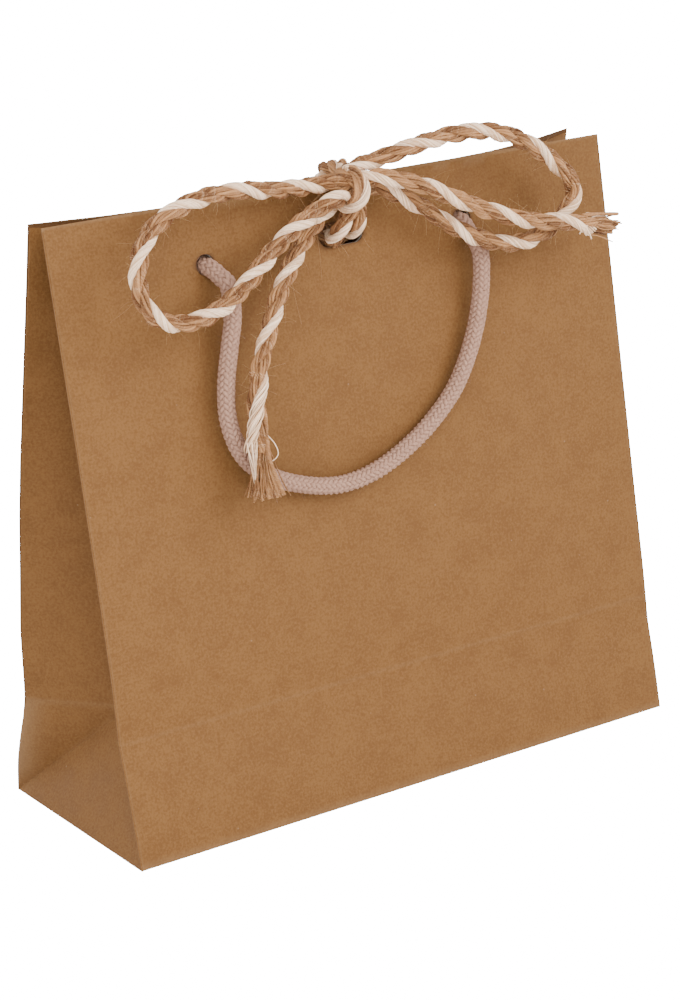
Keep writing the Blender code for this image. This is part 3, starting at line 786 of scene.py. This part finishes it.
WALL_STEP, GUSSET_STEP = 0.0030, 0.004
CREASE_LINES = (-0.0012, -0.0005, 0, 0.0005, 0.0012)
CREASE_CLEAR = 0.0016        # even grid lines stay this far from a crease
CREASE_WIDTH = 0.0007
CUT_REACH = 0.0045
# How pale each wall's top fold is painted, part wear and part painted highlight.
TOP_FOLD_WEAR_AND_HIGHLIGHT = {"front": 0.75, "back": 0.5}
BASE_ROWS = 16
FOLD_DROP = ((CREASE, CREASE + 0.03, WALL), (0.0015, 0.0050, 0.0046))    # of the gusset's fold
LEAF_SHARES = np.concatenate([[0, 0.015], np.linspace(0.1, 1, 10)])      # edge to fold


def bow_out(side, share, up):
    left, right = [eased(up, table, 0.004) for table in EDGE_BOW[side]]
    return left * (1 - share) + right * share


def ripple(x, up, seed):
    """Faint waves of a hand-folded sheet, which die away at its edges."""
    total = 0
    for k, (lx, lz, size) in enumerate(RIPPLES):
        total = total + size * np.sin(FULL_TURN * (x / lx + up / lz) + seed + 2.1 * k)
        total = total + size * 0.7 * np.sin(FULL_TURN * (x / lx - up / lz) + 1.7 * seed + k)
    inside = np.clip((HALF_WIDTH - np.abs(x)) / 0.03, 0, 1) * np.clip(up / 0.02, 0, 1)
    return total * RIPPLE_SIZE * inside * np.clip((WALL - up) / 0.03, 0, 1)


def wall_point(side, x, up, depth=0.0):
    """Points on a wall. Depth is measured inwards from its outer face."""
    x, up = np.broadcast_arrays(np.asarray(x, float), np.asarray(up, float))
    share = (x + HALF_WIDTH) / (2 * HALF_WIDTH)
    if side == "front":
        top = -MOUTH_HALF - FRONT_TWIST * x / HALF_WIDTH
        sign = 1.0
    else:
        top = -eased(x, BACK_TOP)
        sign = -1.0
    lean = np.arcsin((top + HALF_DEPTH) / WALL)
    inwards = ripple(x, up, 0.6 if side == "front" else 2.9) + depth - bow_out(side, share, up)
    y = -HALF_DEPTH + up * np.sin(lean) + inwards * np.cos(lean)
    z = up * np.cos(lean) - inwards * np.sin(lean)
    return np.stack([x, sign * y, z], axis=-1)


def back_shift(points):
    """How far the drawn-in back wall lies from the CAD's flat one, at these points."""
    up = points[..., 2] / math.cos(LEAN)
    flat = HALF_DEPTH - up * math.sin(LEAN)
    return wall_point("back", points[..., 0], np.clip(up, 0, WALL))[..., 1] - flat


def back_place(x, out, up):
    """As on_back, on the drawn-in back wall."""
    point = on_back(x, out, up)
    if abs(out) < 0.5 and abs(up) < 0.5:    # a place on the bag, and not a direction
        point[1] += float(back_shift(on_back(x, 0.0, up)))
    return point


def grid_faces(rows, cols, offset=0):
    row, col = np.mgrid[:rows - 1, :cols - 1]
    a = (offset + row * cols + col).ravel()
    return np.stack([a, a + 1, a + cols + 1, a + cols], axis=1).tolist()


def closed_sheet(name, outer, inner, tones, inner_tones, material):
    """A thin solid between two grids of points of the same size."""
    rows, cols = outer.shape[:2]
    count = rows * cols
    faces = grid_faces(rows, cols) + [face[::-1] for face in grid_faces(rows, cols, count)]
    grid = np.arange(count).reshape(rows, cols)
    rim = np.concatenate([grid[0], grid[1:, -1], grid[-1, -2::-1], grid[-2:0:-1, 0]]).tolist()
    for a, b in zip(rim, rim[1:] + rim[:1]):
        faces.append([a + count, b + count, b, a])
    points = np.vstack([outer.reshape(-1, 3), inner.reshape(-1, 3)])
    both = np.concatenate([tones.ravel(), inner_tones.ravel()])
    thing = mesh_object(name, points, faces, material, both)
    with edited(thing.data) as form:
        bmesh.ops.recalc_face_normals(form, faces=form.faces)
    return thing


def inner_sheet(name, side, xs, ups, depths, material):
    """A flat sheet inside a wall, between two depths from its outer face."""
    outer, inner = [np.array([wall_point(side, xs, up, depth) for up in ups]) for depth in depths]
    tones = np.full(outer.shape[:2], PLAIN)
    return closed_sheet(name, outer, inner, tones, tones, material)


def soften(thing, angle=28):
    """Smooth shading, with sharp edges where faces meet at more than this many degrees."""
    thing.data.shade_smooth()
    thing.data.set_sharp_from_angle(angle=math.radians(angle))


def cutter(at, outward, outline):
    """A rod with the given outline, along the outward direction."""
    across = Vector((1, 0, 0))
    up = Vector(np.cross(outward, across))
    if up.z < 0:
        up = -up
    data = bpy.data.meshes.new("cutter")
    with edited(data) as form:
        rings = []
        for d in (-CUT_REACH, CUT_REACH):
            rings.append([form.verts.new(Vector(at) + across * a + up * b + Vector(outward) * d)
                          for a, b in outline])
        form.faces.new(rings[0][::-1])
        form.faces.new(rings[1])
        for k, n in zip(range(len(outline)), [*range(1, len(outline)), 0]):
            form.faces.new((rings[0][k], rings[0][n], rings[1][n], rings[1][k]))
        bmesh.ops.recalc_face_normals(form, faces=form.faces)
    return placed("cutter", data)


def pierce(thing, side):
    """Cuts the two rope holes and the ribbon slot."""
    left, right = SLOT_XS
    openings = [(x, HOLE_HEIGHT, HOLE_RADIUS, 0.0) for x in HOLE_XS]
    openings.append(((left + right) / 2, SLOT_HEIGHT, SLOT_RADIUS, (right - left) / 2))
    cutters = []
    for x, up, radius, half in openings:
        at = wall_point(side, x, up)
        outward = unit(wall_point(side, x, up, -0.01) - at)
        outline = []
        for t in np.linspace(0, FULL_TURN, 28, endpoint=False):
            shift = half if math.cos(t) > 1e-6 else -half
            outline.append((shift + radius * math.cos(t), radius * math.sin(t)))
        cutters.append(cutter(at, outward, outline))
    for rod in cutters:
        step = thing.modifiers.new("cut", "BOOLEAN")
        step.operation = "DIFFERENCE"
        step.solver = "EXACT"
        step.object = rod
    apply_modifiers(thing)
    for rod in cutters:
        discard(rod)


def refined(low, high, step, marks):
    """Even steps with close lines at each mark, where the paper is creased."""
    values = list(np.linspace(low, high, round((high - low) / step) + 1))
    for mark in marks:
        values = [v for v in values if abs(v - mark) > CREASE_CLEAR or v in (low, high)]
        values += [mark + d for d in CREASE_LINES if low < mark + d < high]
    return np.array(sorted(set(values)))


def weld(form, gap, sliver):
    """Joins points that fall together, and drops the slivers that this leaves."""
    bmesh.ops.remove_doubles(form, verts=form.verts, dist=gap)
    bmesh.ops.dissolve_degenerate(form, edges=form.edges, dist=sliver)
    bmesh.ops.recalc_face_normals(form, faces=form.faces)


def walls():
    """Each wall is one sheet, which turns down at the top round its card strip. Its folded part is
    narrower than the wall, so the points beyond its ends fall together and are welded."""
    stack = PAPER + GAP + CARD + GAP + PAPER
    widest = stack / 2
    ups = refined(0, WALL - widest, WALL_STEP, (CREASE,))
    hem_ups = refined(WALL - HEM, WALL - widest - 0.001, 0.004, ())[::-1]
    xs = refined(-HALF_WIDTH, HALF_WIDTH, WALL_STEP, (-HALF_WIDTH, HALF_WIDTH))
    narrow = np.clip(xs, -INNER_HALF_WIDTH, INNER_HALF_WIDTH)
    fold = np.interp(np.abs(xs), (INNER_HALF_WIDTH, 0.092), (widest, PAPER * 0.62))
    bend = np.maximum(fold - PAPER, 0.00002)
    edge = np.minimum(xs + HALF_WIDTH, HALF_WIDTH - xs)
    for side in ("front", "back"):
        outer = [wall_point(side, xs, up) for up in ups]
        inner = [wall_point(side, xs, up, PAPER) for up in ups]
        # A pale line along the crease: part wear, part painted highlight.
        tones = [PLAIN + 0.10 * np.exp(-((up - CREASE) / CREASE_WIDTH) ** 2) + 0 * xs for up in ups]
        # The bottom fold is paler too: part wear, part painted highlight.
        tones[0] = tones[0] + 0.3
        for turn in np.linspace(0, math.pi, 9):
            for radius, rows in ((fold, outer), (bend, inner)):
                height = WALL - fold + radius * math.sin(turn)
                rows.append(wall_point(side, xs, height, fold - radius * math.cos(turn)))
            # The top fold's outside is paler, and where it turns inside it is painted shade.
            tones.append(np.full_like(xs, TOP_FOLD_WEAR_AND_HIGHLIGHT[side]) * (turn < 2.0))
        for up in hem_ups:
            outer.append(wall_point(side, narrow, up, stack))
            inner.append(wall_point(side, narrow, up, stack - PAPER))
            # The hem faces the inside of the bag: painted shade.
            tones.append(np.zeros_like(xs))
        # Pale upright edges: part wear, part painted highlight.
        tones = np.array(tones) + 0.42 * np.exp(-(edge / 0.0006) ** 2)[None, :]
        # The inner face has tone 0: painted shade all over the inside of the wall.
        sheet = closed_sheet(f"{side}_wall_paper", np.array(outer), np.array(inner),
                             np.clip(tones, 0, 1), 0 * tones, KRAFT)
        with edited(sheet.data) as form:
            weld(form, 1e-6, 1e-7)
        pierce(sheet, side)
        soften(sheet)
        settle(sheet, "kraft_paper", f"{side}_panel", f"{side}_top_hem")
        card_strip(side)


def card_strip(side):
    ups = np.linspace(WALL - STRIP - 0.001, WALL - 0.0016, 9)
    xs = np.linspace(-INNER_HALF_WIDTH + 0.001, INNER_HALF_WIDTH - 0.001, 40)
    strip = inner_sheet(f"{side}_stiffening_card", side, xs, ups,
                        (PAPER + GAP, PAPER + GAP + CARD), CARD_GREY)
    pierce(strip, side)
    soften(strip)
    settle(strip, "grey_card", f"{side}_card_strip")


def seam():
    """The lap that glues the sheet into a tube, inside the back wall."""
    ups = np.linspace(0.004, WALL - HEM - 0.003, 40)
    xs = np.linspace(HALF_WIDTH - 0.017, HALF_WIDTH - 0.0012, 6)
    flap = inner_sheet("back_glued_seam", "back", xs, ups,
                       (PAPER + 0.0001, 2 * PAPER + 0.0001), KRAFT_INSIDE)
    soften(flap)
    settle(flap, "kraft_inside", "back_seam_flap")


def patch(a, b, c, d, shares, bulge, skew=1.0, edge=None):
    """A patch between four corners, raised by bulge, with its first side on an edge curve."""
    u = shares[None, :, None]
    v = np.linspace(0, 1, BASE_ROWS)[:, None, None]
    points = (a * (1 - u) + b * u) * (1 - v) + (d * (1 - u) + c * u) * v
    if edge is not None:
        points = points + (1 - u) * (edge(v[:, 0, 0])[:, None] - (a * (1 - v) + d * v))
    points[..., 0] += bulge * (np.sin(u ** skew * math.pi) * np.sin(v * math.pi))[..., 0]
    return points


def leaf(side, edge, fold, heights, sign):
    """Half a gusset above the crease, from a wall's edge to the fold. It stays inside the wall."""
    u = LEAF_SHARES
    rows = edge[:, None] * (1 - u)[None, :, None] + fold[:, None] * u[None, :, None]
    bulge = 0.0012 * np.exp(-((heights - 0.085) / 0.06) ** 2)
    bulge = bulge * np.clip((heights - CREASE) / 0.02, 0, 1)
    rows[..., 0] += sign * np.sin(u * math.pi)[None, :] * bulge[:, None]
    limit = wall_point(side, rows[..., 0], rows[..., 2] / math.cos(LEAN), PAPER + GAP)[..., 1]
    keep = np.maximum if side == "front" else np.minimum
    rows[1:, 1:, 1] = keep(rows[..., 1], limit)[1:, 1:]
    return rows


def gussets():
    """Each side sheet: two leaves folded inwards above the base triangle and its two wings."""
    heights = refined(CREASE, WALL - 0.0012, GUSSET_STEP, (CREASE,))
    back_heights = heights - BACK_CREASE_DROP * (WALL - heights) / (WALL - CREASE)
    front_heights = heights + FRONT_CREASE_RISE * (WALL - heights) / (WALL - CREASE)
    for hand, sign in (("left", -1), ("right", 1)):
        edge_x = sign * HALF_WIDTH
        front = wall_point("front", edge_x, front_heights)
        back = wall_point("back", edge_x, back_heights)
        half = np.linalg.norm(front - back, axis=1) / 2
        depth = np.sqrt(HALF_DEPTH ** 2 - np.minimum(half, 0.0398) ** 2)
        depth = depth - APEX_OUT * np.exp(-((heights - CREASE) / 0.02) ** 2)
        drop = np.interp(heights, *FOLD_DROP)
        fold = (front + back) / 2 - np.stack([sign * depth, 0 * depth, drop], axis=1)
        apex = fold[0]
        foot_front = wall_point("front", edge_x, 0.0)
        foot_back = wall_point("back", edge_x, 0.0)
        parts = [leaf("front", front, fold, heights, sign), leaf("back", back, fold, heights, sign)]
        for side, foot, edge, bulge, skew in (("front", foot_front, front_heights, 0.0004, 1.0),
                                              ("back", foot_back, back_heights, 0.0022, 0.5)):
            corner = wall_point(side, edge_x, edge[0])
            parts.append(patch(foot, foot, apex, corner, LEAF_SHARES, sign * bulge, skew,
                               lambda v: wall_point(side, edge_x, v * edge[0])))
        parts.append(patch(foot_front, foot_back, apex, apex, np.linspace(0, 1, 12), sign * 0.0008))
        points, faces = np.zeros((0, 3)), []
        for rows in parts:
            faces += grid_faces(*rows.shape[:2], len(points))
            points = np.vstack([points, rows.reshape(-1, 3)])
        tone = gusset_tone(points, back[0], foot_back, apex)
        sheet = mesh_object(f"{hand}_gusset_paper", points, faces, KRAFT, tone)
        with edited(sheet.data) as form:
            weld(form, 2e-5, 1e-6)
            form.faces.ensure_lookup_table()
            if sum(f.normal.x * f.calc_area() for f in form.faces) * sign < 0:
                bmesh.ops.reverse_faces(form, faces=form.faces)
        thick = sheet.modifiers.new("thick", "SOLIDIFY")
        thick.thickness = PAPER
        thick.offset = -1
        thick.use_even_offset = True
        apply_modifiers(sheet)
        soften(sheet, 14)
        settle(sheet, "kraft_paper", f"{hand}_gusset_front_leaf", f"{hand}_gusset_back_leaf",
               f"{hand}_base_triangle")


def gusset_tone(points, back_corner, foot_back, apex):
    """Pale lines along the base triangle's creases, part wear and part painted highlight, and a
    painted highlight by the back edge below them.
    """
    # Pale crease lines: part wear, part painted highlight.
    tone = PLAIN + 0.10 * np.exp(-(distance_to(points, foot_back, apex) / 0.0005) ** 2)
    tone += 0.15 * np.exp(-(distance_to(points, back_corner, apex) / 0.0005) ** 2)
    # A painted highlight by the back edge, below the crease.
    painted_highlight = np.exp(-(distance_to(points, back_corner, foot_back) / 0.0055) ** 2)
    height = points[:, 2] / CREASE
    below = np.clip(height * 4, 0, 1) * np.clip((0.93 - height) * 12, 0, 1)
    return np.clip(tone + 0.5 * painted_highlight * below * (points[:, 1] > 0.024), 0, 1)


def distance_to(points, a, b):
    """Distance of points from a line between two ends."""
    share = np.clip((points - a) @ (b - a) / np.dot(b - a, b - a), 0, 1)
    return np.linalg.norm(points - a - share[:, None] * (b - a), axis=1)


BOTTOM = {"bottom_front_flap": KRAFT, "bottom_back_flap": KRAFT, "bottom_left_flap": KRAFT_INSIDE,
          "bottom_right_flap": KRAFT_INSIDE, "base_board": CARD_GREY}


def bottom():
    """The bottom's flat pieces stay as they are in the CAD, with their own materials."""
    for name, finish in BOTTOM.items():
        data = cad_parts[name].data
        data.materials.clear()
        data.materials.append(finish)


# ---- light and floor

LIGHTS = [    # name, direction it shines from, distance, size, power, colour
    ("key", (0.45, -0.73, 0.51), 1.8, 1.2, 30.0, (1, 0.985, 0.96)),
    ("left_fill", (-0.40, -0.80, 0.35), 0.62, 0.50, 1.6, (1, 0.985, 0.96)),
    ("side_fill", (-0.80, -0.52, 0.20), 0.75, 0.60, 1.4, (1, 0.985, 0.96)),
    ("rim", (-0.62, 0.76, 0.25), 0.9, 0.60, 2.2, (1, 0.99, 0.98)),
]
LIT_POINT = Vector((0, 0, 0.1))
SKY_STRENGTH = 1.68
SEEN_WHITE = 20       # what the camera sees of the sky and the floor is plain white
FLOOR_HALF, FLOOR_DROP = 3.0, 0.0003


def area_light(name, direction, distance, size, power, colour):
    data = bpy.data.lights.new(name, "AREA")
    data.shape = "DISK"
    data.size = size
    data.energy = power
    data.color = colour
    lamp = placed(name, data)
    way = Vector(direction).normalized()
    lamp.location = LIT_POINT + way * distance
    lamp.rotation_mode = "QUATERNION"
    lamp.rotation_quaternion = way.to_track_quat("Z", "Y")


def seen_white(tree, kind, shader, output):
    """Shows the camera plain white, and leaves the shader's light on the bag as it is."""
    white = tree.nodes.new(kind)
    white.inputs["Strength"].default_value = SEEN_WHITE
    seen = tree.nodes.new("ShaderNodeLightPath")
    mixed = tree.nodes.new("ShaderNodeMixShader")
    tree.links.new(seen.outputs["Is Camera Ray"], mixed.inputs[0])
    tree.links.new(shader.outputs[0], mixed.inputs[1])
    tree.links.new(white.outputs[0], mixed.inputs[2])
    tree.links.new(mixed.outputs[0], tree.nodes[output].inputs["Surface"])


def studio():
    world = bpy.data.worlds.new("studio")
    bpy.context.scene.world = world
    world.use_nodes = True
    sky = world.node_tree.nodes["Background"]
    sky.inputs["Color"].default_value = (1.0, 1.0, 1.0, 1)
    sky.inputs["Strength"].default_value = SKY_STRENGTH
    seen_white(world.node_tree, "ShaderNodeBackground", sky, "World Output")
    for light in LIGHTS:
        area_light(*light)
    pale = bpy.data.materials.new("white_floor")
    pale.use_nodes = True
    surface = pale.node_tree.nodes["Principled BSDF"]
    surface.inputs["Base Color"].default_value = (0.86, 0.85, 0.84, 1)
    surface.inputs["Roughness"].default_value = 0.9
    seen_white(pale.node_tree, "ShaderNodeEmission", surface, "Material Output")
    data = bpy.data.meshes.new("floor")
    with edited(data) as form:
        bmesh.ops.create_grid(form, x_segments=8, y_segments=8, size=FLOOR_HALF)
    data.materials.append(pale)
    floor = placed("floor", data)
    floor.location.z = -FLOOR_DROP


add_camera()
bow()
ribbon_turns()
handles()
walls()
seam()
gussets()
bottom()
studio()
